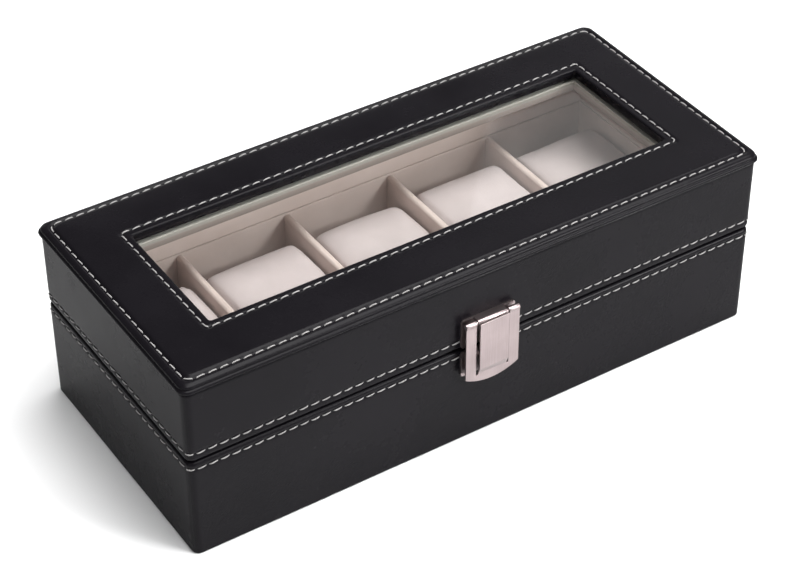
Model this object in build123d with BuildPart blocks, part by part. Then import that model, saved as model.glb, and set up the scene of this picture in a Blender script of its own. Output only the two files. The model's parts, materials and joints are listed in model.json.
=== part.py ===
from build123d import *
import os

# A five-compartment watch box: leather-covered boards, a hinged lid with a glass window,
# lift-out cushions and a spring clasp. Millimetres. The origin is the middle of the
# underside, +X runs along the length to the right, -Y is the front and +Z is up.

# ------------------------------------------------------------------ driving dimensions
length = 255.0              # over the leather of the side walls
width = 112.0               # over the leather of the front and back walls
height = 81.0               # from the underside to the top of the lid panel
parting = 45.0              # height of the joint between base and lid
parting_gap = 0.8           # between the two leather rims when the lid is shut
corner_r = 3.0              # vertical corners, over the leather
rim_r = 1.5                 # rounded rims at the joint, over the leather
foot_r = 1.0                # lower edge of the base, over the leather
compartments = 5

# sheet materials
leather = 0.8
felt = 0.8
base_board = 4.5
lid_board = 4.1             # thinner, so that the lid passes over the lip of the base
bottom_board = 4.0
floor_card = 1.4
base_card = 1.5             # lining of the base walls
lid_card = 1.3              # lining of the lid walls
hem = 9.0                   # leather turned under the base
felt_inset = 2.0            # the felt stops this far inside the leather

# interior
lip = 3.0                   # the base lining stands this far above the joint
lip_clear = 0.3             # between the lip and the lid lining above it
lip_edge_r = 0.4
divider_thick = 3.0
divider_drop = 0.5          # the dividers are this much lower than the lip
divider_edge_r = 1.2
cushion_side_clear = 0.34
cushion_end_gap = 9.2       # strap space in front of and behind each cushion
cushion_top = 45.5
cushion_shoulder_r = 9.0
cushion_foot_r = 5.0
cushion_edge_r = 3.0

# lid panel and window
overhang = 1.1              # of the panel past the lid walls
panel_thick = 4.0
panel_corner_r = 4.0
panel_crown_r = 3.0         # upper edge of the panel, over the leather
panel_foot_r = 0.8          # lower edge of the panel, over the leather
panel_seat = 2.6            # the leather is turned under the panel edge this far
window_x = 203.8
window_y = 59.4
window_corner_r = 1.2
glass_thick = 2.0
glass_depth = 3.0           # of the glass below the top of the panel
glass_edge = 6.5            # glass hidden under each side of the window
rebate_clear = 0.5
turn_in = 6.0               # leather turned under each side of the window
ceiling_low = 71.7          # underside of the strips that hold the glass up

# hinges
hinge_x = 70.0
hinge_y = 57.6
hinge_width = 24.0
hinge_knuckles = 5
knuckle_gap = 0.2
barrel_r = 1.6
pin_r = 0.7
pin_clear = 0.05            # running clearance of each hinge pin
leaf_thick = 0.9
leaf_inset = 0.8            # from the inner face of the wall to the leaf
leaf_back = 0.15            # from a leaf to the other leaf's knuckles
leaf_lap = 0.6              # a leaf ends this far short of the pin's centre line
mortise_clear = 0.1
screw_x = 7.5
screw_y = 53.4
screw_r = 0.8
screw_head_r = 1.5
screw_length = 6.0          # depth of the hole below the rim
screw_tip = 1.0             # the screw ends this far short of its hole

# clasp
clasp_width = 24.0
clasp_sheet = 0.8
flap_sheet = 0.7
plate_corner_r = 1.0
lid_plate_low = 45.9
base_plate_low = 32.3
base_plate_high = 44.1
clasp_pin_y = -59.1
clasp_pin_z = 57.9
clasp_pin_r = 0.55
curl_r = 1.25               # outside of each knuckle of the clasp
bridge_half = 6.6
curl_start = 7.2            # the side knuckles lie between this and the flap's edges
panel_half = 6.5            # raised middle of the flap
strip_start = 7.4           # inner edge of the flap's side strips
panel_stand = 1.45          # raised panel's back, ahead of the pin
panel_rise = 0.3            # raised panel's top, above the pin
strip_front = 0.9           # side strips' front, ahead of the pin
flap_corner_z = 32.5
flap_bottom_z = 29.2
slot_end_z = 33.2
bend_top_z = 36.5           # below this the raised panel bends back to the strips
bend_low_z = 33.6
bend_r = 2.0
catch_half = 4.5
catch_sheet = 0.5
catch_top_z = 54.0
catch_nose_z = 38.4
catch_nose_y = -58.3
catch_bend = 1.3
keeper_z = 41.2
keeper_half_height = 1.3
keeper_nose_y = -57.9
brad_x = 9.3
brad_r = 0.45
brad_head_r = 1.1
brad_head = 0.5
brad_head_taper = 30.0
brad_length = 4.0
lid_brad_rows = (49.0, 55.5)
base_brad_rows = (35.3, 41.2)

# ------------------------------------------------------------------ derived positions
base_top = parting - parting_gap / 2
lid_low = parting + parting_gap / 2
base_board_low = felt + leather
base_board_top = base_top - leather
lid_board_low = lid_low + leather
board_x = length - 2 * leather
board_y = width - 2 * leather
board_corner_r = corner_r - leather
board_rim_r = rim_r - leather
base_in_x = board_x - 2 * base_board
base_in_y = board_y - 2 * base_board
lid_in_x = board_x - 2 * lid_board
lid_in_y = board_y - 2 * lid_board
floor_low = base_board_low + bottom_board
floor_top = floor_low + floor_card
lip_top = parting + lip
room_x = base_in_x - 2 * base_card
room_y = base_in_y - 2 * base_card
cell = (room_x - (compartments - 1) * divider_thick) / compartments
pitch = cell + divider_thick
panel_low = height - panel_thick
panel_x = length + 2 * overhang
panel_y = width + 2 * overhang
glass_top = height - glass_depth
glass_low = glass_top - glass_thick
rebate_x = window_x + 2 * (glass_edge + rebate_clear)
rebate_y = window_y + 2 * (glass_edge + rebate_clear)
front_face = -width / 2
plate_face = front_face - clasp_sheet
lid_plate_high = clasp_pin_z + curl_r
through = 10.0              # extra length of a cut that runs right through

os.makedirs("parts", exist_ok=True)


def save(piece, label):
    piece.part.label = label
    export_step(piece.part, f"parts/{label}.step")


def slab(x_size, y_size, low, high, corner=0.0, top_r=0.0, bottom_r=0.0):
    """Level block centred on the origin in plan, with optional rounded corners and rims."""
    with BuildPart() as block:
        with BuildSketch(Plane.XY.offset(low)):
            if corner:
                RectangleRounded(x_size, y_size, corner)
            else:
                Rectangle(x_size, y_size)
        extrude(amount=high - low)
        if top_r:
            fillet(block.faces().sort_by(Axis.Z)[-1].edges(), top_r)
        if bottom_r:
            fillet(block.faces().sort_by(Axis.Z)[0].edges(), bottom_r)
    return block.part


def box_between(low, high):
    """Plain block between two opposite corners."""
    size = [b - a for a, b in zip(low, high)]
    middle = [(a + b) / 2 for a, b in zip(low, high)]
    with BuildPart() as block:
        with Locations(Location(tuple(middle))):
            Box(*size)
    return block.part


def rod_x(x_low, x_high, y, z, radius):
    """Round bar along X."""
    with BuildPart() as rod:
        with BuildSketch(Plane.YZ.offset(x_low)):
            with Locations((y, z)):
                Circle(radius)
        extrude(amount=x_high - x_low)
    return rod.part


def wall_zones(in_x, in_y):
    """Four zones that part a ring of walls: front and back run the whole length."""
    far_x, far_y, top = length, width, height + through
    return {
        "front": box_between((-far_x, -far_y, 0), (far_x, -in_y / 2, top)),
        "back": box_between((-far_x, in_y / 2, 0), (far_x, far_y, top)),
        "left": box_between((-far_x, -in_y / 2, 0), (-in_x / 2, in_y / 2, top)),
        "right": box_between((in_x / 2, -in_y / 2, 0), (far_x, in_y / 2, top)),
    }


def brad_holes(rows):
    """Bars that drill the holes of one clasp plate's brads, from the front."""
    with BuildPart() as holes:
        with BuildSketch(Plane.XZ.offset(-plate_face - brad_length)):
            for z in rows:
                with Locations((-brad_x, z), (brad_x, z)):
                    Circle(brad_r)
        extrude(amount=brad_length)
    return holes.part


def screw_holes(end_z):
    """Bars that drill the holes of both hinges' screws, from the rim to end_z."""
    with BuildPart() as holes:
        with BuildSketch(Plane.XY.offset(min(end_z, parting))):
            for hinge in (-hinge_x, hinge_x):
                with Locations((hinge - screw_x, screw_y), (hinge + screw_x, screw_y)):
                    Circle(screw_r)
        extrude(amount=abs(end_z - parting))
    return holes.part


def hinge_mortises():
    """Pockets that let the hinge leaves into the two leather rims."""
    half = hinge_width / 2 + mortise_clear
    with BuildPart() as pockets:
        with BuildSketch(Plane.XY.offset(base_board_top)):
            for hinge in (-hinge_x, hinge_x):
                with Locations((hinge, (base_in_y + width) / 4 + leaf_inset / 2)):
                    Rectangle(2 * half, (width - base_in_y) / 2 - leaf_inset + 2 * mortise_clear)
        extrude(amount=lid_board_low - base_board_top)
    return pockets.part


# ------------------------------------------------------------------ base
def make_base_boards():
    with BuildPart() as bottom:
        add(slab(base_in_x, base_in_y, base_board_low, floor_low))
    save(bottom, "base_bottom_panel")

    block = slab(board_x, board_y, base_board_low, base_board_top,
                 board_corner_r, board_rim_r, foot_r - leather)
    cavity = slab(base_in_x, base_in_y, 0, height)
    for side, zone in wall_zones(base_in_x, base_in_y).items():
        with BuildPart() as wall:
            add(block)
            add(cavity, mode=Mode.SUBTRACT)
            add(zone, mode=Mode.INTERSECT)
            if side == "front":
                add(brad_holes(base_brad_rows), mode=Mode.SUBTRACT)
            if side == "back":
                add(screw_holes(base_board_top - screw_length), mode=Mode.SUBTRACT)
        save(wall, f"base_{side}_wall")


def make_base_covering():
    with BuildPart() as wrap:
        add(slab(length, width, felt, base_top, corner_r, rim_r, foot_r))
        add(slab(board_x, board_y, base_board_low, base_board_top,
                 board_corner_r, board_rim_r, foot_r - leather), mode=Mode.SUBTRACT)
        add(slab(base_in_x, base_in_y, base_board_low, height), mode=Mode.SUBTRACT)
        add(slab(length - 2 * hem, width - 2 * hem, 0, base_board_low), mode=Mode.SUBTRACT)
        add(hinge_mortises(), mode=Mode.SUBTRACT)
        add(brad_holes(base_brad_rows), mode=Mode.SUBTRACT)
    save(wrap, "base_leather_wrap")

    with BuildPart() as underside:
        add(slab(length - 2 * felt_inset, width - 2 * felt_inset, 0, felt, corner_r))
        add(slab(length - 2 * hem, width - 2 * hem, felt, base_board_low))
    save(underside, "base_underside_felt")


def make_base_lining():
    with BuildPart() as floor:
        add(slab(room_x, room_y, floor_low, floor_top))
    save(floor, "base_floor_lining")

    frame = slab(base_in_x, base_in_y, floor_low, lip_top)
    cavity = slab(room_x, room_y, 0, height)
    for side, zone in wall_zones(room_x, room_y).items():
        with BuildPart() as card:
            add(frame)
            add(cavity, mode=Mode.SUBTRACT)
            add(zone, mode=Mode.INTERSECT)
            along = Axis.X if side in ("front", "back") else Axis.Y
            fillet(card.edges().filter_by(along).group_by(Axis.Z)[-1], lip_edge_r)
        save(card, f"base_lining_{side}")

    for number in range(1, compartments):
        middle = (number - compartments / 2) * pitch
        with BuildPart() as divider:
            with BuildSketch(Plane.XY.offset(floor_top)):
                with Locations((middle, 0)):
                    Rectangle(divider_thick, room_y)
            extrude(amount=lip_top - divider_drop - floor_top)
            fillet(divider.edges().filter_by(Axis.Y).group_by(Axis.Z)[-1], divider_edge_r)
        save(divider, f"divider_{number}")


def make_cushions():
    half_y = room_y / 2 - cushion_end_gap
    tall = cushion_top - floor_top
    for number in range(1, compartments + 1):
        middle = (number - (compartments + 1) / 2) * pitch
        with BuildPart() as cushion:
            with BuildSketch(Plane.XY.offset(floor_top)):
                with Locations((middle, 0)):
                    Rectangle(cell - 2 * cushion_side_clear, 2 * half_y)
            extrude(amount=tall)
            ends = cushion.edges().filter_by(Axis.X).group_by(Axis.Z)
            fillet(ends[-1], cushion_shoulder_r)
            ends = cushion.edges().filter_by(Axis.X).group_by(Axis.Z)
            fillet(ends[0], cushion_foot_r)
            for flank in (cushion.faces().sort_by(Axis.X)[0], cushion.faces().sort_by(Axis.X)[-1]):
                fillet(flank.edges(), cushion_edge_r)
        save(cushion, f"cushion_{number}")


# ------------------------------------------------------------------ lid
def make_lid_walls():
    block = slab(board_x, board_y, lid_board_low, panel_low, board_corner_r, 0, board_rim_r)
    cavity = slab(lid_in_x, lid_in_y, 0, height)
    for side, zone in wall_zones(lid_in_x, lid_in_y).items():
        with BuildPart() as wall:
            add(block)
            add(cavity, mode=Mode.SUBTRACT)
            add(zone, mode=Mode.INTERSECT)
            if side == "front":
                add(brad_holes(lid_brad_rows), mode=Mode.SUBTRACT)
            if side == "back":
                add(screw_holes(lid_board_low + screw_length), mode=Mode.SUBTRACT)
        save(wall, f"lid_{side}_wall")

    with BuildPart() as skin:
        add(slab(length, width, lid_low, panel_low, corner_r, 0, rim_r))
        add(block, mode=Mode.SUBTRACT)
        add(cavity, mode=Mode.SUBTRACT)
        add(hinge_mortises(), mode=Mode.SUBTRACT)
        add(brad_holes(lid_brad_rows), mode=Mode.SUBTRACT)
    save(skin, "lid_side_leather")

    frame = slab(lid_in_x, lid_in_y, lip_top + lip_clear, ceiling_low)
    room = slab(lid_in_x - 2 * lid_card, lid_in_y - 2 * lid_card, 0, height)
    zones = wall_zones(lid_in_x - 2 * lid_card, lid_in_y - 2 * lid_card)
    for side, zone in zones.items():
        with BuildPart() as card:
            add(frame)
            add(room, mode=Mode.SUBTRACT)
            add(zone, mode=Mode.INTERSECT)
        save(card, f"lid_lining_{side}")


def make_lid_panel():
    core = slab(panel_x - 2 * leather, panel_y - 2 * leather, panel_low + leather,
                height - leather, panel_corner_r - leather,
                panel_crown_r - leather)
    seat = slab(length - 2 * (panel_seat - overhang), width - 2 * (panel_seat - overhang),
                panel_low, panel_low + 2 * leather, corner_r)
    cut_x = window_x + 2 * leather
    cut_y = window_y + 2 * leather
    window = slab(window_x, window_y, 0, height + through, window_corner_r)

    with BuildPart() as board:
        add(core)
        add(seat)
        add(slab(cut_x, cut_y, 0, height + through, window_corner_r + leather),
            mode=Mode.SUBTRACT)
        add(slab(rebate_x, rebate_y, 0, glass_top + leather), mode=Mode.SUBTRACT)
    save(board, "lid_top_board")

    with BuildPart() as cover:
        add(slab(panel_x, panel_y, panel_low, height, panel_corner_r,
                 panel_crown_r, panel_foot_r))
        add(core, mode=Mode.SUBTRACT)
        add(seat, mode=Mode.SUBTRACT)
        add(slab(cut_x, cut_y, glass_top, height, window_corner_r + leather))
        add(slab(window_x + 2 * turn_in, window_y + 2 * turn_in,
                 glass_top, glass_top + leather, window_corner_r))
        add(window, mode=Mode.SUBTRACT)
    save(cover, "lid_top_leather")

    with BuildPart() as pane:
        add(slab(window_x + 2 * glass_edge, window_y + 2 * glass_edge,
                 glass_low, glass_top, window_corner_r))
    save(pane, "window_glass")

    frame = slab(lid_in_x, lid_in_y, ceiling_low, panel_low)
    for side, zone in wall_zones(window_x, window_y).items():
        with BuildPart() as strip:
            add(frame)
            add(slab(window_x, window_y, 0, height), mode=Mode.SUBTRACT)
            add(slab(rebate_x, rebate_y, glass_low, height), mode=Mode.SUBTRACT)
            add(zone, mode=Mode.INTERSECT)
        save(strip, f"window_retainer_{side}")


# ------------------------------------------------------------------ hinges
def hinge_leaf(middle, inner_y, low, own_knuckles):
    """One leaf: a plate let into a rim, and its share of the barrel's knuckles."""
    left = middle - hinge_width / 2
    step = hinge_width / hinge_knuckles
    back_off = hinge_y - barrel_r - leaf_back
    bore = pin_r if 0 in own_knuckles else pin_r + pin_clear
    sink = -1 if low < parting else 1
    with BuildPart() as leaf:
        add(box_between((left, inner_y, low), (left + hinge_width, back_off, low + leaf_thick)))
        for index in own_knuckles:
            x_low = left + index * step + knuckle_gap / 2
            x_high = x_low + step - knuckle_gap
            add(rod_x(x_low, x_high, hinge_y, parting, barrel_r))
            add(box_between((x_low, back_off - leaf_back, low),
                            (x_high, hinge_y - leaf_lap, low + leaf_thick)))
        add(rod_x(left, left + hinge_width, hinge_y, parting, bore), mode=Mode.SUBTRACT)
        open_face = low if sink > 0 else low + leaf_thick
        with BuildSketch(Plane.XY.offset(open_face)):
            with Locations((middle - screw_x, screw_y), (middle + screw_x, screw_y)):
                Circle(screw_head_r)
        extrude(amount=sink * leaf_thick, taper=screw_taper(), mode=Mode.SUBTRACT)
    return leaf


def screw_taper():
    """Angle at which a countersunk head narrows to its shank within the leaf."""
    return Vector(leaf_thick, screw_head_r - screw_r).get_angle(Vector(1, 0))


def screw_set(open_face, sink):
    """Countersunk screws of both hinges, driven from open_face into one rim."""
    with BuildPart() as screws:
        for hinge in (-hinge_x, hinge_x):
            spots = ((hinge - screw_x, screw_y), (hinge + screw_x, screw_y))
            with BuildSketch(Plane.XY.offset(open_face)):
                with Locations(*spots):
                    Circle(screw_head_r)
            extrude(amount=sink * leaf_thick, taper=screw_taper())
            with BuildSketch(Plane.XY.offset(open_face)):
                with Locations(*spots):
                    Circle(screw_r)
            extrude(amount=sink * (leaf_thick + screw_length - screw_tip))
    return screws


def make_hinges():
    base_leaf_low = base_board_top
    lid_leaf_low = lid_board_low - leaf_thick
    outer = range(0, hinge_knuckles, 2)
    inner = range(1, hinge_knuckles, 2)
    for side, middle in (("left", -hinge_x), ("right", hinge_x)):
        save(hinge_leaf(middle, base_in_y / 2 + leaf_inset, base_leaf_low, outer),
             f"hinge_{side}_base_leaf")
        save(hinge_leaf(middle, lid_in_y / 2 + leaf_inset, lid_leaf_low, inner),
             f"hinge_{side}_lid_leaf")
        with BuildPart() as pin:
            add(rod_x(middle - hinge_width / 2, middle + hinge_width / 2,
                      hinge_y, parting, pin_r))
        save(pin, f"hinge_{side}_pin")
    save(screw_set(base_leaf_low + leaf_thick, -1), "hinge_base_screws")
    save(screw_set(lid_leaf_low, 1), "hinge_lid_screws")


# ------------------------------------------------------------------ clasp
def clasp_plate(low, high, rows):
    """Plate nailed to a front wall, with holes for its brads."""
    with BuildPart() as plate:
        with BuildSketch(Plane.XZ.offset(-front_face)):
            with Locations((0, (low + high) / 2)):
                RectangleRounded(clasp_width, high - low, plate_corner_r)
        extrude(amount=clasp_sheet)
        add(brad_holes(rows), mode=Mode.SUBTRACT)
    return plate.part


def make_clasp_plates():
    with BuildPart() as lid_plate:
        add(clasp_plate(lid_plate_low, lid_plate_high, lid_brad_rows))
        add(box_between((-bridge_half, clasp_pin_y, lid_plate_high - flap_sheet),
                        (bridge_half, front_face, lid_plate_high)))
        add(rod_x(-bridge_half, bridge_half, clasp_pin_y, clasp_pin_z, curl_r))
        add(rod_x(-bridge_half, bridge_half, clasp_pin_y, clasp_pin_z, clasp_pin_r),
            mode=Mode.SUBTRACT)
    save(lid_plate, "clasp_lid_plate")

    with BuildPart() as keeper:
        add(clasp_plate(base_plate_low, base_plate_high, base_brad_rows))
        with BuildSketch(Plane.YZ.offset(-catch_half)):
            with BuildLine():
                Polyline((plate_face, keeper_z - keeper_half_height),
                         (keeper_nose_y, keeper_z - keeper_half_height / 3),
                         (keeper_nose_y, keeper_z + keeper_half_height / 3),
                         (plate_face, keeper_z + keeper_half_height), close=True)
            make_face()
        extrude(amount=2 * catch_half)
    save(keeper, "clasp_base_plate")


def make_clasp_flap():
    half = clasp_width / 2
    strip_y = clasp_pin_y - strip_front
    panel_back = clasp_pin_y - panel_stand
    panel_front = panel_back - flap_sheet
    with BuildPart() as flap:
        # side strips and foot, cut from one sheet with an arched lower edge
        with BuildSketch(Plane.XZ.offset(-strip_y - flap_sheet)):
            with BuildLine():
                Polyline((-half, flap_corner_z), (-half, clasp_pin_z),
                         (half, clasp_pin_z), (half, flap_corner_z))
                ThreePointArc((half, flap_corner_z), (0, flap_bottom_z), (-half, flap_corner_z))
            make_face()
        extrude(amount=flap_sheet)
        add(box_between((-strip_start, panel_front, slot_end_z),
                        (strip_start, front_face, height)), mode=Mode.SUBTRACT)
        # raised middle panel, which bends back into the foot
        with BuildSketch(Plane.YZ.offset(-panel_half)) as bent_sheet:
            with BuildLine():
                Polyline((panel_front, clasp_pin_z + panel_rise), (panel_front, bend_top_z),
                         (strip_y, bend_low_z), (strip_y, slot_end_z - flap_sheet),
                         (strip_y + flap_sheet, slot_end_z - flap_sheet),
                         (strip_y + flap_sheet, bend_low_z + flap_sheet / 2),
                         (panel_back, bend_top_z + flap_sheet / 2),
                         (panel_back, clasp_pin_z + panel_rise), close=True)
            make_face()
            fillet(bent_sheet.vertices().group_by(Axis.Z)[1:-1], bend_r)
        extrude(amount=2 * panel_half)
        # side knuckles round the pin
        for ends in ((-half, -curl_start), (curl_start, half)):
            add(rod_x(*ends, clasp_pin_y, clasp_pin_z, curl_r))
        add(rod_x(-half, half, clasp_pin_y, clasp_pin_z, clasp_pin_r + pin_clear),
            mode=Mode.SUBTRACT)
    save(flap, "clasp_flap")

    with BuildPart() as pin:
        add(rod_x(-half, half, clasp_pin_y, clasp_pin_z, clasp_pin_r))
    save(pin, "clasp_pin")

    with BuildPart() as catch:
        with BuildSketch(Plane.YZ.offset(-catch_half)):
            with BuildLine():
                inner_y = panel_back + catch_sheet
                Polyline((panel_back, catch_top_z), (inner_y, catch_top_z),
                         (inner_y, catch_nose_z + catch_bend), (catch_nose_y, catch_nose_z),
                         (inner_y, catch_nose_z - catch_bend),
                         (panel_back, catch_nose_z - catch_bend), close=True)
            make_face()
        extrude(amount=2 * catch_half)
    save(catch, "clasp_spring_catch")


def make_clasp_brads():
    for label, rows in (("clasp_lid_brads", lid_brad_rows), ("clasp_base_brads", base_brad_rows)):
        with BuildPart() as brads:
            add(brad_holes(rows))
            with BuildSketch(Plane.XZ.offset(-plate_face)):
                for z in rows:
                    with Locations((-brad_x, z), (brad_x, z)):
                        Circle(brad_head_r)
            extrude(amount=brad_head, taper=brad_head_taper)
        save(brads, label)


make_base_boards()
make_base_covering()
make_base_lining()
make_cushions()
make_lid_walls()
make_lid_panel()
make_hinges()
make_clasp_plates()
make_clasp_flap()
make_clasp_brads()
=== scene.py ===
import json
import math

import bmesh
import bpy
import numpy as np
from mathutils import Matrix, Vector, noise


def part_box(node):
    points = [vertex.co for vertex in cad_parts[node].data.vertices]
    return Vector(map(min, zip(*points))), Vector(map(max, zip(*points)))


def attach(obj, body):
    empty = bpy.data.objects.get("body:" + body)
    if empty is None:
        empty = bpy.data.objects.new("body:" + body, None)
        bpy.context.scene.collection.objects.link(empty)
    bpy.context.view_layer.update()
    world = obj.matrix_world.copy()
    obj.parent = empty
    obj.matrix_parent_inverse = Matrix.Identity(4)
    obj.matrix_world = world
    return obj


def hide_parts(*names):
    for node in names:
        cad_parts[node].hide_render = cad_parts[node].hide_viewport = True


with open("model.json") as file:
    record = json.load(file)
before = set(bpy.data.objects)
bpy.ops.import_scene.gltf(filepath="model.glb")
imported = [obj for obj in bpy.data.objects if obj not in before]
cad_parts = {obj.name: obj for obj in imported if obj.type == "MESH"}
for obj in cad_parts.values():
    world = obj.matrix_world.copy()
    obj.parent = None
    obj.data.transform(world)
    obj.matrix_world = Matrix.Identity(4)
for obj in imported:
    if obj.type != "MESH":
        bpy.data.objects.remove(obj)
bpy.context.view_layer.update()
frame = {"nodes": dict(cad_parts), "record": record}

# The look of a leather-covered watch box: stitched leather, suede lining and cushions,
# a glass window and a satin nickel clasp. Metres, in the CAD model's frame.
MM = 0.001
nodes = frame["nodes"]

# the leather's thickness and radii, and the hidden edge of the glass, as in the CAD model
LEATHER = 0.8 * MM
CORNER_R = 3.0 * MM
RIM_R = 1.5 * MM
PANEL_CORNER_R = 4.0 * MM
WINDOW_CORNER_R = 1.2 * MM
GLASS_EDGE = 6.5 * MM

FOOT_R = 0.7 * MM              # a little sharper than in the CAD model

# stitching
STITCH_PITCH = 4.7 * MM
THREAD_R = 0.29 * MM
WALL_THREAD_R = 0.27 * MM
WINDOW_ROW = 3.1 * MM          # from the window's edge to its row of stitches
PANEL_ROW = 4.1 * MM           # from the panel's edge to the outer row
BASE_ROW = 2.85 * MM           # below the base's rim
LID_ROW = 3.7 * MM             # above the lid's rim

# mesh of the leather
COLUMN = 0.95 * MM             # spacing of the columns
CORNER_STEPS = 8
ROW_STEP = 0.36 * MM           # spacing of the mesh rows beside a row of stitches
ROW_STEPS = range(-6, 7)
NEAR = 0.2 * MM                # rows keep this far from each other and from a rounded rim
BEYOND = 1 * MM                # a cutter reaches this far past the leather

# how the stitches and the hand's work show in the leather
GROOVE = 0.16 * MM
GROOVE_R = 1.0 * MM
HOLE = 0.34 * MM
HOLE_R = 0.62 * MM
UNEVEN = 0.06 * MM             # slow ripples of a glued skin


# ---------------------------------------------------------------- node materials
class Nodes:
    """A material's node tree, with short calls for the nodes used here."""

    def __init__(self, name):
        self.material = bpy.data.materials.new(name)
        self.material.use_nodes = True
        self.tree = self.material.node_tree
        self.shader = self.tree.nodes["Principled BSDF"]
        self.coords = self.tree.nodes.new("ShaderNodeTexCoord")

    def add(self, kind, inputs=None, **settings):
        node = self.tree.nodes.new(kind)
        for key, value in settings.items():
            setattr(node, key, value)
        for key, value in (inputs or {}).items():
            if isinstance(value, bpy.types.NodeSocket):
                self.tree.links.new(value, node.inputs[key])
            else:
                node.inputs[key].default_value = value
        return node

    def link(self, socket, name):
        self.tree.links.new(socket, self.shader.inputs[name])

    def fixed(self, **values):
        for name, value in values.items():
            self.shader.inputs[name.replace("_", " ")].default_value = value

    def stretched(self, scale):
        """Object coordinates, scaled along each axis."""
        return self.add("ShaderNodeMapping", {"Vector": self.coords.outputs["Object"],
                                              "Scale": scale}).outputs["Vector"]

    def noise(self, scale, detail=3.0, rough=0.55, vector=None):
        vector = vector or self.coords.outputs["Object"]
        return self.add("ShaderNodeTexNoise", {"Vector": vector, "Scale": scale,
                                               "Detail": detail, "Roughness": rough}).outputs["Fac"]

    def ramp(self, value, stops):
        """Colour ramp from a list of (position, colour)."""
        node = self.add("ShaderNodeValToRGB", {"Fac": value})
        band = node.color_ramp
        while len(band.elements) < len(stops):
            band.elements.new(0.5)
        for element, (position, colour) in zip(band.elements, stops):
            element.position = position
            element.color = (*colour, 1.0)
        return node.outputs["Color"]

    def spread(self, value, low, high, from_low=0.25, from_high=0.75):
        """A number between low and high."""
        return self.add("ShaderNodeMapRange", {"Value": value, "From Min": from_low,
                                               "From Max": from_high, "To Min": low,
                                               "To Max": high}).outputs["Result"]

    def math(self, operation, a, b):
        return self.add("ShaderNodeMath", {0: a, 1: b}, operation=operation).outputs[0]

    def bump(self, height, distance, strength=1.0, normal=None):
        inputs = {"Height": height, "Distance": distance, "Strength": strength}
        if normal:
            inputs["Normal"] = normal
        return self.add("ShaderNodeBump", inputs).outputs["Normal"]


def leather_material():
    m = Nodes("black_leatherette")
    patches = m.noise(28.0, 4.0)
    colour = m.ramp(patches, [(0.3, (0.0042, 0.0036, 0.0048)), (0.7, (0.0058, 0.0050, 0.0066))])
    m.link(colour, "Base Color")
    pores = m.add("ShaderNodeTexVoronoi", {"Vector": m.coords.outputs["Object"],
                                           "Scale": 1500.0}).outputs["Distance"]
    creases = m.noise(420.0, 5.0, 0.6)
    waves = m.noise(22.0, 2.0, 0.4)
    normal = m.bump(waves, 0.0007, 0.5)
    normal = m.bump(creases, 0.00004, 0.5, normal)
    normal = m.bump(pores, 0.00003, 0.45, normal)
    m.link(normal, "Normal")
    m.link(m.spread(m.math("ADD", patches, m.math("MULTIPLY", creases, 0.3)), 0.22, 0.31,
                    0.4, 0.9), "Roughness")
    facing = m.add("ShaderNodeLayerWeight", {"Blend": 0.5}).outputs["Facing"]
    m.link(m.spread(facing, 1.168, 1.10, 0.36, 0.6), "IOR")
    return m.material


def suede_nap(m, nap=1.0):
    """Short pile: fine bumps and a dull sheen. Returns its strokes and fibres."""
    strokes = m.noise(38.0, 4.0, 0.6)
    fibres = m.noise(1900.0, 3.0, 0.7)
    normal = m.bump(m.noise(130.0, 3.0), 0.0005 * nap, 0.25)
    m.link(m.bump(fibres, 0.00012 * nap, 0.6, normal), "Normal")
    m.link(m.spread(strokes, 0.86, 0.98), "Roughness")
    m.fixed(Specular_IOR_Level=0.15, Sheen_Weight=0.22, Sheen_Roughness=0.45)
    return strokes, fibres


def suede_material(name, dark, light, nap=1.0):
    m = Nodes(name)
    strokes, fibres = suede_nap(m, nap)
    mixed = m.math("ADD", m.math("MULTIPLY", strokes, 0.75), m.math("MULTIPLY", fibres, 0.25))
    m.link(m.ramp(mixed, [(0.34, dark), (0.66, light)]), "Base Color")
    return m.material


def window_frame_painted_light_material():
    """Lining of the strips round the window, coloured by height: a painted highlight along the top
    just under the glass, and painted shade lower down.
    """
    m = Nodes("frame_suede_painted_light")
    strokes, _ = suede_nap(m)
    # painted light by height: paler at the top edge under the glass as a painted highlight, darker
    # lower down as painted shade
    rise = m.add("ShaderNodeSeparateXYZ", {"Vector": m.coords.outputs["Generated"]}).outputs["Z"]
    tone = m.math("ADD", rise, m.math("MULTIPLY", strokes, 0.16))
    m.link(m.ramp(tone, [(0.1, (0.22, 0.185, 0.165)), (0.50, (0.30, 0.25, 0.228)),
                         (0.60, (0.37, 0.348, 0.315)), (0.9, (0.42, 0.398, 0.362))]), "Base Color")
    return m.material


def thread_material():
    m = Nodes("linen_thread")
    uv = m.coords.outputs["UV"]
    plies = m.add("ShaderNodeTexWave", {"Vector": uv, "Scale": 2.2, "Distortion": 0.4},
                  wave_type="BANDS", bands_direction="DIAGONAL").outputs["Fac"]
    fuzz = m.noise(3500.0, 2.0)
    tone = m.math("ADD", m.math("MULTIPLY", plies, 0.6), m.math("MULTIPLY", fuzz, 0.4))
    m.link(m.ramp(tone, [(0.15, (0.16, 0.153, 0.15)), (0.6, (0.35, 0.34, 0.335))]), "Base Color")
    m.link(m.bump(tone, 0.00012, 0.6), "Normal")
    m.link(m.spread(fuzz, 0.55, 0.75), "Roughness")
    m.fixed(Specular_IOR_Level=0.3)
    return m.material


def metal_material(name, dark, light, rough, brush=(1.0, 1.0, 0.03)):
    """Plated metal with fine brush marks: brush squeezes the noise along one axis."""
    m = Nodes(name)
    marks = m.noise(2600.0, 3.0, 0.6, m.stretched(brush))
    clouds = m.noise(70.0, 3.0)
    tone = m.math("ADD", m.math("MULTIPLY", marks, 0.45), m.math("MULTIPLY", clouds, 0.55))
    m.link(m.ramp(tone, [(0.3, dark), (0.7, light)]), "Base Color")
    m.link(m.bump(marks, 0.000012, 0.4), "Normal")
    m.link(m.spread(tone, rough - 0.06, rough + 0.06), "Roughness")
    m.fixed(Metallic=1.0)
    return m.material


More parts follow.
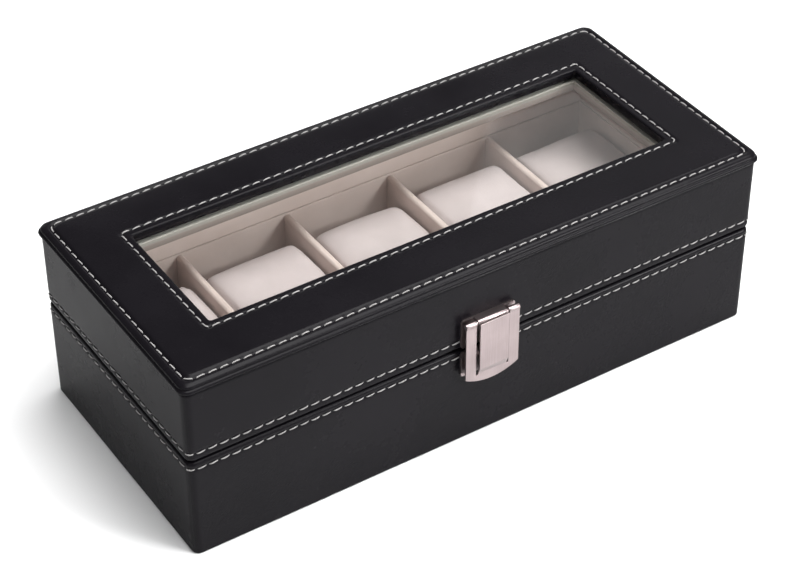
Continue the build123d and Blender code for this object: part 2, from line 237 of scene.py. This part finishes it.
def board_material():
    m = Nodes("fibreboard")
    chips = m.noise(900.0, 4.0, 0.7)
    m.link(m.ramp(chips, [(0.3, (0.22, 0.14, 0.08)), (0.7, (0.36, 0.25, 0.15))]), "Base Color")
    m.link(m.bump(chips, 0.0001, 0.5), "Normal")
    m.link(m.spread(chips, 0.75, 0.9), "Roughness")
    return m.material


def felt_material():
    m = Nodes("black_felt")
    fuzz = m.noise(1200.0, 5.0, 0.75)
    m.link(m.ramp(fuzz, [(0.3, (0.006, 0.006, 0.006)), (0.75, (0.030, 0.030, 0.031))]),
           "Base Color")
    m.link(m.bump(fuzz, 0.0003, 0.8), "Normal")
    m.link(m.spread(fuzz, 0.9, 1.0), "Roughness")
    m.fixed(Specular_IOR_Level=0.1, Sheen_Weight=0.2)
    return m.material


def glass_material():
    """Thin pane: light passes straight through, and the surface mirrors by its angle."""
    least = 0.04                # share mirrored where the pane is seen square on
    m = Nodes("window_pane")
    tree = m.tree
    smear = m.noise(16.0, 3.0)
    clear = m.add("ShaderNodeBsdfTransparent")
    tree.links.new(m.ramp(smear, [(0.3, (0.955, 0.965, 0.960)), (0.7, (0.975, 0.980, 0.978))]),
                   clear.inputs["Color"])
    mirror = m.add("ShaderNodeBsdfGlossy")
    tree.links.new(m.spread(smear, 0.02, 0.06), mirror.inputs["Roughness"])
    facing = m.add("ShaderNodeLayerWeight", {"Blend": 0.5}).outputs["Facing"]
    slant = m.math("POWER", facing, 5.0)
    share = m.math("ADD", m.math("MULTIPLY", slant, 1 - least), least)
    mix = m.add("ShaderNodeMixShader", {0: share, 1: clear.outputs[0], 2: mirror.outputs[0]})
    tree.links.new(mix.outputs[0], tree.nodes["Material Output"].inputs["Surface"])
    return m.material


def floor_material():
    m = Nodes("pale_floor")
    mottle = m.noise(3.0, 3.0)
    m.link(m.ramp(mottle, [(0.3, (0.86, 0.86, 0.86)), (0.7, (0.88, 0.88, 0.88))]),
           "Base Color")
    m.link(m.spread(mottle, 0.85, 0.95), "Roughness")
    m.fixed(Specular_IOR_Level=0.1)
    return m.material


LEATHER_LOOK = leather_material()
LINING_LOOK = suede_material("beige_suede", (0.58, 0.475, 0.43), (0.69, 0.575, 0.53))
# a paler copy of the beige suede for the back walls: painted light standing in for the light that
# reaches them
LIT_COPY_LINING_LOOK = suede_material("beige_suede_lit_copy", (0.70, 0.585, 0.535), (0.82, 0.70, 0.65))
# suede of the window strips, with a painted highlight at the top and painted shade lower down
FRAME_PAINTED_LIGHT_LOOK = window_frame_painted_light_material()
CUSHION_LOOK = suede_material("cream_suede", (0.50, 0.428, 0.420), (0.60, 0.520, 0.512), 1.3)
THREAD_LOOK = thread_material()
CLASP_LOOK = metal_material("satin_nickel", (0.26, 0.216, 0.216), (0.37, 0.307, 0.307), 0.34)
STEEL_LOOK = metal_material("zinc_steel", (0.42, 0.42, 0.42), (0.62, 0.62, 0.61), 0.30,
                            (0.03, 1.0, 1.0))
BOARD_LOOK = board_material()
FELT_LOOK = felt_material()
GLASS_LOOK = glass_material()


# ---------------------------------------------------------------- mesh helpers
def new_object(name, verts, faces, material):
    mesh = bpy.data.meshes.new(name)
    mesh.from_pydata([tuple(v) for v in verts], [], faces)
    mesh.update()
    piece = bpy.data.objects.new(name, mesh)
    bpy.context.scene.collection.objects.link(piece)
    mesh.materials.append(material)
    mesh.polygons.foreach_set("use_smooth", [True] * len(mesh.polygons))
    return piece


def finish_piece(piece, body, slot, *stands_for):
    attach(piece, body)
    if stands_for:
        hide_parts(*stands_for)


def bake_modifiers(piece):
    """Applies every modifier to the mesh."""
    graph = bpy.context.evaluated_depsgraph_get()
    mesh = bpy.data.meshes.new_from_object(piece.evaluated_get(graph))
    piece.modifiers.clear()
    old = piece.data
    piece.data = mesh
    bpy.data.meshes.remove(old)


def round_loop(half_x, half_y, radius):
    """Points and outward directions of one loop round a rounded rectangle.

    Every loop has the same number of columns, so that loops can be joined. It starts at
    the left end of the front side and runs anticlockwise as seen from above.
    """
    points, normals = [], []
    radius = max(radius, 0.05 * MM)     # never zero, so that a corner's columns stay apart
    inner_x, inner_y = half_x - radius, half_y - radius
    corners = ((1, -1, -90), (1, 1, 0), (-1, 1, 90), (-1, -1, 180))
    sides = ((0, -1), (1, 0), (0, 1), (-1, 0))
    starts = ((-inner_x, -half_y), (half_x, -inner_y), (inner_x, half_y), (-half_x, inner_y))
    ends = ((inner_x, -half_y), (half_x, inner_y), (-inner_x, half_y), (-half_x, -inner_y))
    for side in range(4):
        count = long_columns if side % 2 == 0 else short_columns
        for t in np.arange(count) / count:
            points.append((starts[side][0] + t * (ends[side][0] - starts[side][0]),
                           starts[side][1] + t * (ends[side][1] - starts[side][1])))
            normals.append(sides[side])
        sign_x, sign_y, first = corners[side]
        for t in np.arange(CORNER_STEPS) / CORNER_STEPS:
            angle = math.radians(first + 90 * t)
            direction = (math.cos(angle), math.sin(angle))
            points.append((sign_x * inner_x + radius * direction[0],
                           sign_y * inner_y + radius * direction[1]))
            normals.append(direction)
    return np.array(points), np.array(normals)


def loop_lengths(points):
    """Distance along a closed loop at each point, and the whole length."""
    gaps = np.linalg.norm(np.roll(points, -1, axis=0) - points, axis=1)
    return np.concatenate(([0.0], np.cumsum(gaps)[:-1])), gaps.sum()


def swept_shell(name, rows, material):
    """Closed shell from a ring of rows: each row is an array of the loop's 3-D points."""
    columns = len(rows[0])
    verts = np.concatenate(rows)
    faces = []
    for i in range(len(rows)):
        a, b = i * columns, (i + 1) % len(rows) * columns
        for j in range(columns):
            k = (j + 1) % columns
            faces.append((a + j, a + k, b + k, b + j))
    return new_object(name, verts, faces, material)


def arc(centre, radius, first, last, steps):
    """Points of an arc in a section, angles in degrees."""
    return [(centre[0] + radius * math.cos(math.radians(a)),
             centre[1] + radius * math.sin(math.radians(a)))
            for a in np.linspace(first, last, steps)]


def seam_dent(across, along, pitch, groove=GROOVE):
    """How far a row of stitches pulls the leather in: a groove with a dent at each hole."""
    nearest = (along + pitch / 2) % pitch - pitch / 2
    pulled = groove * math.exp(-(across / GROOVE_R) ** 2)
    dents = HOLE * math.exp(-(across / HOLE_R) ** 2) * np.exp(-(nearest / HOLE_R) ** 2)
    return pulled + dents


def ripple(x, y, z, wavelength, seed):
    """Smooth noise between about -1 and 1."""
    return 2.0 * noise.noise(Vector((x / wavelength + seed, y / wavelength, z / wavelength)))


def fitted_pitch(length):
    return length / round(length / STITCH_PITCH)


def stitches(name, body, points, outward, aside, thick):
    """A row of stitches along a closed loop, each a bent piece of thread.

    outward points off the leather and aside across the row, both per column. Each stitch
    leans a little across the row, and both its ends dive into the leather.
    """
    sides, steps = 8, 9
    along, length = loop_lengths(points)
    pitch = fitted_pitch(length)
    closed = np.concatenate((along, [length]))

    def at(s, values):
        wrapped = np.vstack((values, values[:1]))
        return np.array([np.interp(s % length, closed, wrapped[:, i]) for i in range(3)])

    verts, faces, coords = [], [], []
    gap, lean = 0.42 * MM, 0.17 * MM
    uneven_place, uneven_side = 0.08 * MM, 0.05 * MM
    for number in range(round(length / pitch)):
        wobble = ripple(number * 0.37, 0.0, 0.0, 1.0, len(name))
        begin = number * pitch + gap + uneven_place * wobble
        end = (number + 1) * pitch - gap + uneven_place * wobble
        base = len(verts)
        for step in range(steps):
            t = step / (steps - 1)
            s = begin + t * (end - begin)
            up, across = at(s, outward), at(s, aside)
            forward = np.cross(across, up)
            rise = thick * (1.18 * math.sin(math.pi * t) ** 0.45 - 0.85)
            side = lean * (2 * t - 1) + uneven_side * wobble
            centre = at(s, points) + up * rise + across * side
            radius = thick * (0.72 + 0.28 * math.sin(math.pi * t) ** 0.5)
            dive = 0.45 * MM * (0.5 - t) * abs(2 * t - 1) ** 6
            for k in range(sides):
                angle = 2 * math.pi * k / sides
                twist = 1 + 0.10 * math.cos(2 * (angle - 5.0 * t))
                ring = across * math.cos(angle) + up * math.sin(angle) * 0.82
                verts.append(centre + radius * twist * ring + forward * dive)
                coords.append((k / sides, t * 2.0))
        for step in range(steps - 1):
            for k in range(sides):
                a, b = base + step * sides, base + (step + 1) * sides
                n = (k + 1) % sides
                faces.append((a + k, a + n, b + n, b + k))
        faces.append(tuple(base + k for k in reversed(range(sides))))
        faces.append(tuple(base + (steps - 1) * sides + k for k in range(sides)))
    piece = new_object(name, verts, faces, THREAD_LOOK)
    layer = piece.data.uv_layers.new(name="thread")
    picks = np.array([coords[loop.vertex_index] for loop in piece.data.loops])
    layer.data.foreach_set("uv", picks.ravel())
    finish_piece(piece, body, "cushion_suede")    # the record's slot nearest to pale thread


# ---------------------------------------------------------------- driving boxes
base_low, base_high = (Vector(c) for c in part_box("base_leather_wrap"))
lid_low, lid_high = (Vector(c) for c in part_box("lid_side_leather"))
top_low, top_high = (Vector(c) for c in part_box("lid_top_leather"))
pane_high = Vector(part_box("window_glass")[1])
half_x, half_y = base_high.x, base_high.y
window_x, window_y = pane_high.x - GLASS_EDGE, pane_high.y - GLASS_EDGE
long_columns = round(2 * (half_x - CORNER_R) / COLUMN)
short_columns = round(2 * (half_y - CORNER_R) / COLUMN)


# ---------------------------------------------------------------- leather of the walls
def wall_skin(name, section, row, seed):
    """Leather round four walls, with a row of stitches at the height row.

    section is a closed list of (outward, height) points. Its outer side gets the stitches'
    dents and slow ripples.
    """
    rows = []
    for out, z in section:
        points, normals = round_loop(half_x + out, half_y + out, CORNER_R + out)
        along, length = loop_lengths(points)
        push = np.zeros(len(points))
        if out > -LEATHER / 2:
            push -= seam_dent(z - row, along, fitted_pitch(length))
            push += np.array([UNEVEN * ripple(x, y, z, 42 * MM, seed) for x, y in points])
        moved = points + normals * push[:, None]
        rows.append(np.column_stack((moved, np.full(len(moved), z))))
    return swept_shell(name, rows, LEATHER_LOOK)


def fine_heights(start, end, row):
    """Heights from start down to end, close together near the row of stitches."""
    heights = {round(z, 6) for z in np.linspace(start, end, 9)}
    for step in ROW_STEPS:
        z = row + step * ROW_STEP
        if end < z < start:
            heights = {h for h in heights if abs(h - z) > NEAR} | {round(z, 6)}
    return sorted(heights | {round(start, 6), round(end, 6)}, reverse=True)


def cut_mortises(piece, z_low, z_high):
    """Cuts the hinge leaves' pockets out of a leather rim."""
    for side in ("left", "right"):
        leaf_low, leaf_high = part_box(f"hinge_{side}_base_leaf")
        spare = 0.1 * MM
        low = (leaf_low[0] - spare, leaf_low[1] - spare, z_low)
        high = (leaf_high[0] + spare, half_y + BEYOND, z_high)
        corners = [(x, y, z) for z in (low[2], high[2])
                   for x, y in ((low[0], low[1]), (high[0], low[1]),
                                (high[0], high[1]), (low[0], high[1]))]
        sides = [(0, 3, 2, 1), (4, 5, 6, 7), (0, 1, 5, 4), (1, 2, 6, 5), (2, 3, 7, 6), (3, 0, 4, 7)]
        cutter = new_object("mortise_cutter", corners, sides, LEATHER_LOOK)
        boolean = piece.modifiers.new("mortise", "BOOLEAN")
        boolean.operation, boolean.object, boolean.solver = "DIFFERENCE", cutter, "EXACT"
        bake_modifiers(piece)
        bpy.data.objects.remove(cutter)


def make_base_cover():
    top, foot = base_high.z, base_low.z
    ground = 0.15 * MM          # the skin comes down this close to the table round the felt
    felt_edge = -1.7 * MM
    fold, hem = -5.3 * MM, -9.0 * MM
    row = top - BASE_ROW
    inner_r = RIM_R - LEATHER
    section = [(fold, top), (fold / 2, top)]
    section += arc((-RIM_R, top - RIM_R), RIM_R, 90, 0, 7)
    section += [(0.0, z) for z in fine_heights(top - RIM_R - NEAR, ground + FOOT_R + NEAR, row)]
    section += arc((-FOOT_R, ground + FOOT_R), FOOT_R, 0, -90, 5)
    section += [(felt_edge, ground), (felt_edge, foot), (hem, foot), (hem, foot + LEATHER),
                (-LEATHER, foot + LEATHER)]
    section += arc((-RIM_R, top - RIM_R), inner_r, 0, 90, 4)
    section += [(fold, top - LEATHER)]
    piece = wall_skin("base_leather_cover", section, row, 3.0)
    cut_mortises(piece, top - LEATHER, top + BEYOND)
    finish_piece(piece, "base", "leather", "base_leather_wrap")
    wall_stitches("base_rim_stitches", "base", row)


def make_lid_cover():
    top, rim = lid_high.z, lid_low.z
    fold, inner, hem = -4.9 * MM, -4.94 * MM, -5.14 * MM
    hem_top = rim + 2.6 * MM
    row = rim + LID_ROW
    inner_r = RIM_R - LEATHER
    section = arc((-RIM_R, top - RIM_R), inner_r, 0, 90, 4)
    section += arc((-RIM_R, top - RIM_R), RIM_R, 90, 0, 7)
    section += [(0.0, z) for z in fine_heights(top - RIM_R - NEAR, rim + RIM_R + NEAR, row)]
    section += arc((-RIM_R, rim + RIM_R), RIM_R, 0, -90, 7)
    section += [(fold / 2, rim), (hem, rim), (hem, hem_top), (inner, hem_top),
                (inner, rim + LEATHER)]
    section += arc((-RIM_R, rim + RIM_R), inner_r, -90, 0, 4)
    piece = wall_skin("lid_leather_cover", section, row, 8.0)
    cut_mortises(piece, rim - BEYOND, rim + LEATHER)
    finish_piece(piece, "lid", "leather", "lid_side_leather")
    wall_stitches("lid_rim_stitches", "lid", row)


def wall_stitches(name, body, z):
    points, normals = round_loop(half_x, half_y, CORNER_R)
    flat = np.column_stack((points, np.full(len(points), z)))
    outward = np.column_stack((normals, np.zeros(len(points))))
    aside = np.tile((0.0, 0.0, 1.0), (len(points), 1))
    stitches(name, body, flat, outward, aside, WALL_THREAD_R)


# ---------------------------------------------------------------- padded top of the lid
RING_X = top_high.x - window_x          # width of the leather between window and edge
RING = top_high.y - window_y
OUTER_ROW = RING - PANEL_ROW
EDGE_R = 3.0 * MM
EDGE_LAYER = 0.75 * MM                  # thickness of the leather round the edge
PANEL_HEM = 2.6 * MM                    # leather turned under the panel's edge
TURN_IN = 6.0 * MM                      # leather turned under each side of the window
CROWN = 0.95 * MM
CROWN_START = 6.0 * MM                  # the padding is highest this far from the window
CROWN_REACH = OUTER_ROW - 3.8 * MM
CROWN_POWER = 2.6
WINDOW_FALL = 0.25 * MM                 # from the highest line down to the window
OUTER_PULL, OUTER_PULL_R = 0.75 * MM, 0.9 * MM
INNER_PULL, INNER_PULL_R = 0.22 * MM, 1.0 * MM
CREASE = 0.55 * MM
CREASE_ANGLE, CREASE_WIDTH = 27, 9.0    # degrees round the edge
THREAD_LIFT = 0.13 * MM


def ring_loop(d):
    """Loop round the window at a distance d from its edge."""
    corner = WINDOW_CORNER_R + (PANEL_CORNER_R - WINDOW_CORNER_R) * d / RING
    return round_loop(window_x + d * RING_X / RING, window_y + d, corner)


def padded_height(d):
    """Height of the padded top over the panel's level, at a distance d from the window."""
    swell = CROWN * (1 - (max(d - CROWN_START, 0.0) / CROWN_REACH) ** CROWN_POWER)
    swell -= WINDOW_FALL * (max(CROWN_START - d, 0.0) / CROWN_START) ** 2
    swell -= OUTER_PULL * math.exp(-((d - OUTER_ROW) / OUTER_PULL_R) ** 2)
    return swell - INNER_PULL * math.exp(-((d - WINDOW_ROW) / INNER_PULL_R) ** 2)


def welted_edge(top, first, last, steps):
    """Rounded edge of the panel, with a crease that parts it into two narrow rolls."""
    points = []
    for angle in np.linspace(first, last, steps):
        radius = EDGE_R - CREASE * math.exp(-((angle - CREASE_ANGLE) / CREASE_WIDTH) ** 2)
        points.append((RING - EDGE_R + radius * math.cos(math.radians(angle)),
                       top - EDGE_R + radius * math.sin(math.radians(angle))))
    return points


def make_top_cover():
    top, under, sill = top_high.z, top_low.z, pane_high.z
    lip_r = 0.7 * MM
    lip_top = top + padded_height(lip_r)
    foot = ((0.15 * MM, 0.65 * MM), (0.5 * MM, 0.25 * MM), (0.9 * MM, 0.0))
    near = [step * ROW_STEP for step in ROW_STEPS]
    between = np.linspace(5.6 * MM, OUTER_ROW - 2.5 * MM, 12)
    surface = sorted({round(WINDOW_ROW + s, 6) for s in near if WINDOW_ROW + s > lip_r}
                     | {round(OUTER_ROW + s, 6) for s in near if OUTER_ROW + s < RING - EDGE_R}
                     | {round(v, 6) for v in between})
    section = [(0.0, sill), (0.0, (sill + lip_top) / 2)]
    section += arc((lip_r, lip_top - lip_r), lip_r, 180, 100, 6)
    section += [(d, top + padded_height(d)) for d in surface]
    section += welted_edge(top, 88, -4, 19)
    outside = len(section)
    face_low = top - 0.5 * MM           # dents and ripples show on the upper face only
    section += [(RING - inward, under + up) for inward, up in foot]
    section += [(RING - PANEL_HEM, under), (RING - PANEL_HEM, under + LEATHER),
                (RING - LEATHER, under + LEATHER)]
    section += arc((RING - EDGE_R, top - EDGE_R), EDGE_R - EDGE_LAYER, 0, 88, 6)
    section += [(LEATHER, top - LEATHER), (LEATHER, sill + LEATHER),
                (TURN_IN, sill + LEATHER), (TURN_IN, sill)]
    rows = []
    for number, (d, z) in enumerate(section):
        points, _ = ring_loop(d)
        heights = np.full(len(points), z)
        if number < outside and z > face_low:
            along, length = loop_lengths(points)
            for row_d, row_length in ((WINDOW_ROW, window_row_length), (OUTER_ROW, outer_row_length)):
                pitch = fitted_pitch(row_length) * length / row_length
                heights -= seam_dent(d - row_d, along, pitch, 0.0)
            heights += np.array([UNEVEN * ripple(x, y, 0, 38 * MM, 5.0) for x, y in points])
        rows.append(np.column_stack((points, heights)))
    piece = swept_shell("lid_top_cover", rows, LEATHER_LOOK)
    finish_piece(piece, "lid", "leather", "lid_top_leather")


def make_top_stitches():
    for name, d in (("window_stitches", WINDOW_ROW), ("panel_edge_stitches", OUTER_ROW)):
        points, normals = ring_loop(d)
        level = top_high.z + padded_height(d) + THREAD_LIFT
        flat = np.column_stack((points, np.full(len(points), level)))
        up = np.tile((0.0, 0.0, 1.0), (len(points), 1))
        inward = np.column_stack((-normals, np.zeros(len(points))))
        stitches(name, "lid", flat, up, inward, THREAD_R)


window_row_length = loop_lengths(ring_loop(WINDOW_ROW)[0])[1]
outer_row_length = loop_lengths(ring_loop(OUTER_ROW)[0])[1]


# ---------------------------------------------------------------- cushions
START_SCALE = 0.93              # the block's size before the cloth swells it
END_ROUND = 7.5 * MM
START_RIPPLE = 0.5 * MM
TOP_RIPPLE = 0.25 * MM          # none at the foot
VOXEL = 3.0 * MM
CLOTH_FRAMES = 20
SWELL_LIMIT = 5.0 * MM
CUSHION_CROWN = 0.9 * MM        # above the CAD cushion's flat top
SEAM_INSET = 2.6 * MM           # from each side of the cushion to its seam
SEAM_DEPTH = 0.55 * MM
SEAM_R = 0.9 * MM


def cushion_start(name, low, high, seed):
    """Rounded block a little smaller than the cushion's space, remeshed for the cloth."""
    bm = bmesh.new()
    bmesh.ops.create_cube(bm, size=1.0)
    size = (high - low) * START_SCALE
    centre = (low + high) / 2
    for v in bm.verts:
        v.co = Vector((v.co.x * size.x, v.co.y * size.y, v.co.z * size.z)) + centre
    ends = [e for e in bm.edges if abs(e.verts[0].co.x - e.verts[1].co.x) > size.x / 2]
    bmesh.ops.bevel(bm, geom=ends, offset=END_ROUND, segments=5, profile=0.5, affect="EDGES")
    mesh = bpy.data.meshes.new(name)
    bm.to_mesh(mesh)
    bm.free()
    piece = bpy.data.objects.new(name, mesh)
    bpy.context.scene.collection.objects.link(piece)
    remesh = piece.modifiers.new("even", "REMESH")
    remesh.mode, remesh.voxel_size = "VOXEL", VOXEL
    bake_modifiers(piece)
    for v in piece.data.vertices:
        v.co += Vector((0, 0, START_RIPPLE * ripple(v.co.x, v.co.y, v.co.z, 30 * MM, seed)))
    return piece


def inflate(piece):
    """Blows the piece up as cloth for some frames and keeps each point within a limit."""
    before = np.array([v.co[:] for v in piece.data.vertices])
    cloth = piece.modifiers.new("fill", "CLOTH")
    settings = cloth.settings
    settings.use_pressure = True
    settings.uniform_pressure_force = 4.0
    settings.effector_weights.gravity = 0.0
    settings.tension_stiffness = settings.compression_stiffness = 18.0
    settings.shear_stiffness = 8.0
    settings.bending_stiffness = 1.2
    settings.quality = 6
    scene = bpy.context.scene
    for number in range(1, CLOTH_FRAMES + 1):
        scene.frame_set(number)
    bake_modifiers(piece)
    scene.frame_set(1)
    after = np.array([v.co[:] for v in piece.data.vertices])
    move = after - before
    far = np.linalg.norm(move, axis=1, keepdims=True)
    capped = before + move * np.minimum(1.0, SWELL_LIMIT / np.maximum(far, 1e-9))
    piece.data.vertices.foreach_set("co", capped.ravel())
    piece.data.update()


def settle(piece, low, high, seed):
    """Fits the swollen form to its space, crowned above, with ripples growing towards the top, and
    smooths it.
    """
    points = np.array([v.co[:] for v in piece.data.vertices])
    lowest, highest = points.min(axis=0), points.max(axis=0)
    points = (points - lowest) / (highest - lowest)
    crown = Vector((0, 0, CUSHION_CROWN))
    space_low, space_high = np.array(low), np.array(high + crown)
    points = space_low + points * (space_high - space_low)
    for i, (x, y, z) in enumerate(points):
        points[i, 2] += TOP_RIPPLE * ripple(x, y, z, 17 * MM, seed) * (z - low.z) / (high.z - low.z)
    piece.data.vertices.foreach_set("co", points.ravel())
    piece.data.update()
    smooth = piece.modifiers.new("finer", "SUBSURF")
    smooth.levels = smooth.render_levels = 1
    bake_modifiers(piece)


def sew_side_seams(piece, low, high):
    """Pinches a seam round each side panel, a few millimetres in from the flank."""
    middle = (low.x + high.x) / 2
    reach = (high.x - low.x) / 2
    piece.data.update()
    normals = [v.normal.copy() for v in piece.data.vertices]
    for v, normal in zip(piece.data.vertices, normals):
        offset = abs(v.co.x - middle) - (reach - SEAM_INSET)
        pinch = SEAM_DEPTH * math.exp(-(offset / SEAM_R) ** 2)
        pucker = 1 + 0.35 * ripple(v.co.y, v.co.z, 0, 5 * MM, middle)
        v.co -= normal * pinch * pucker


def make_cushions():
    for number in range(1, 6):
        node = f"cushion_{number}"
        low, high = (Vector(c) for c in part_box(node))
        piece = cushion_start(f"watch_cushion_{number}", low, high, number * 2.3)
        inflate(piece)
        settle(piece, low, high, number * 3.1)
        sew_side_seams(piece, low, high)
        piece.data.materials.append(CUSHION_LOOK)
        piece.data.polygons.foreach_set("use_smooth", [True] * len(piece.data.polygons))
        finish_piece(piece, node, "cushion_suede", node)


# ---------------------------------------------------------------- CAD pieces kept as they are
def dress(name, material, width):
    """Gives a CAD node its material and slightly rounded edges."""
    node = nodes[name]
    node.data.materials.clear()
    node.data.materials.append(material)
    weld = node.modifiers.new("weld", "WELD")
    weld.merge_threshold = 0.002 * MM
    bevel = node.modifiers.new("edges", "BEVEL")
    bevel.width, bevel.segments = width, 2
    bevel.limit_method, bevel.angle_limit = "ANGLE", math.radians(32)


def dress_all():
    looks = {
        "suede_lining": (LINING_LOOK, 0.35 * MM),
        "felt": (FELT_LOOK, 0.2 * MM),
        "board": (BOARD_LOOK, 0.1 * MM),
        "satin_nickel": (CLASP_LOOK, 0.13 * MM),
        "steel": (STEEL_LOOK, 0.06 * MM),
        "fastener_steel": (STEEL_LOOK, 0.05 * MM),
        "glass": (GLASS_LOOK, 0.15 * MM),
    }
    for part in frame["record"]["subparts"]:
        if part["material_slot"] in looks:
            dress(part["node"], *looks[part["material_slot"]])
    for side in ("front", "back", "left", "right"):
        nodes[f"lid_lining_{side}"].modifiers["edges"].width = 0.05 * MM
        # the strips round the window get the suede with a painted highlight and painted shade by
        # height
        nodes[f"window_retainer_{side}"].data.materials[0] = FRAME_PAINTED_LIGHT_LOOK
    # the back walls get the paler copy of the lining, as painted light
    for name in ("lid_lining_back", "base_lining_back"):
        nodes[name].data.materials[0] = LIT_COPY_LINING_LOOK


# ---------------------------------------------------------------- stage
FLOOR_REACH = 6.0
SKY_COLOUR = (0.98, 0.985, 1.0, 1.0)
SKY_STRENGTH = 0.22
CAMERA_PLACE = (-0.3888, -0.5989, 0.6021)
CAMERA_AIM = (-0.0087, -0.0096, -0.0009)    # from the middle of the closed box
CAMERA_ROLL = -0.23
CAMERA_LENS = 104.2                         # on a sensor 36 wide
# name, place, target, size and power of each softbox
LIGHTS = (
    ("overhead", (0.42, -0.25, 1.85), (0, 0, 0), (1.7, 1.4), 68),
    ("key_front_right", (1.0, -1.45, 0.85), (0, 0, 0.03), (0.55, 0.7), 34),
    ("sheen_card", (1.43, 1.24, 1.56), (0, 0, 0.05), (0.9, 0.8), 2.0),
    ("backdrop", (1.0, 2.2, 0.45), (0, 0, 0.05), (3.0, 0.8), 14),
    ("fill_left", (-1.6, -0.7, 1.3), (0, 0, 0.03), (1.2, 1.2), 7),
)


def look_at(thing, place, target, roll=0.0):
    """Turns a camera or a lamp from place towards target."""
    facing = (Vector(target) - Vector(place)).to_track_quat("-Z", "Y").to_matrix().to_4x4()
    thing.matrix_world = (Matrix.Translation(place) @ facing
                          @ Matrix.Rotation(math.radians(roll), 4, "Z"))


def softbox(name, place, target, size, power):
    light = bpy.data.lights.new(name, "AREA")
    light.shape, light.size, light.size_y = "RECTANGLE", *size
    light.energy = power
    lamp = bpy.data.objects.new(name, light)
    bpy.context.scene.collection.objects.link(lamp)
    look_at(lamp, place, target)


def make_stage():
    corners = [(x, y, 0) for x, y in ((-1, -1), (1, -1), (1, 1), (-1, 1))]
    floor = new_object("studio_floor", [Vector(c) * FLOOR_REACH for c in corners],
                       [(0, 1, 2, 3)], floor_material())
    world = bpy.data.worlds.new("studio")
    world.use_nodes = True
    sky = world.node_tree.nodes["Background"]
    sky.inputs["Color"].default_value = SKY_COLOUR
    sky.inputs["Strength"].default_value = SKY_STRENGTH
    bpy.context.scene.world = world
    for light in LIGHTS:
        softbox(*light)


def make_camera():
    camera = bpy.data.objects.new("camera", bpy.data.cameras.new("camera"))
    bpy.context.scene.collection.objects.link(camera)
    camera.data.sensor_width = 36.0
    camera.data.lens = CAMERA_LENS
    camera.data.clip_start = 0.01
    middle = Vector((0, 0, (base_low.z + top_high.z) / 2))
    look_at(camera, CAMERA_PLACE, middle + Vector(CAMERA_AIM), CAMERA_ROLL)
    bpy.context.scene.camera = camera
    bpy.context.scene.view_settings.view_transform = "Standard"


make_camera()
make_stage()
dress_all()
make_base_cover()
make_lid_cover()
make_top_cover()
make_top_stitches()
make_cushions()
